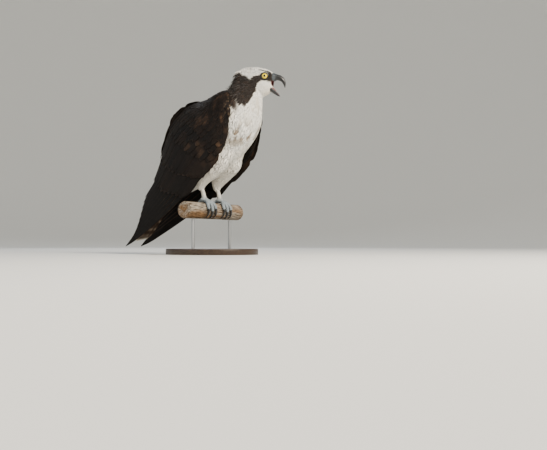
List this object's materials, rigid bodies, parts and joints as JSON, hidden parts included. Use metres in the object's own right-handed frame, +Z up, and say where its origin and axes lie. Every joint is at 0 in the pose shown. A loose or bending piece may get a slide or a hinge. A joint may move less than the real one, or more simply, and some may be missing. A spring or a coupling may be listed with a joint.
{
  "type": "osprey",
  "caption": "Adult osprey, beak open in a call, wings drooped over the tail, gripping a cut branch on a plain display stand.",
  "frame": {"origin": "centre of the underside of the display base, on the floor", "axes": "+X the way the bird's body faces, +Y to its left along the perch, +Z up"},
  "size_m": [0.4321, 0.224, 0.4408],
  "materials": {
    "plumage_white": "soft matt feathers, white with faint buff streaks",
    "plumage_dark": "dark brown feathers with a dull satin sheen and paler edges",
    "plumage_tail": "brown feathers with paler bars",
    "scaled_skin": "rough pale grey scaled skin",
    "claw": "polished black horn",
    "bill": "satin black horn with a bluish base",
    "cere": "smooth blue-grey bare skin",
    "eye": "wet gloss, yellow iris with a black pupil",
    "tongue": "moist pink flesh",
    "weathered_wood": "dry weathered wood with splits and grey bark",
    "base_board": "dark stained wood, satin",
    "steel_rod": "brushed, round"
  },
  "bodies": {
    "root": {"torso": "plumage_white", "neck": "plumage_white", "head": "plumage_white", "thigh_left": "plumage_white", "tarsus_left": "scaled_skin", "foot_left": "scaled_skin", "talon_inner_left": "claw", "talon_middle_left": "claw", "talon_outer_left": "claw", "talon_hind_left": "claw", "wing_left": "plumage_dark", "eye_left": "eye", "thigh_right": "plumage_white", "tarsus_right": "scaled_skin", "foot_right": "scaled_skin", "talon_inner_right": "claw", "talon_middle_right": "claw", "talon_outer_right": "claw", "talon_hind_right": "claw", "wing_right": "plumage_dark", "eye_right": "eye", "tail": "plumage_tail", "cere": "cere", "upper_bill": "bill", "lower_bill": "bill", "tongue": "tongue", "stand_perch": "weathered_wood", "stand_base": "base_board", "stand_rod_left": "steel_rod", "stand_rod_right": "steel_rod"}
  },
  "joints": []
}
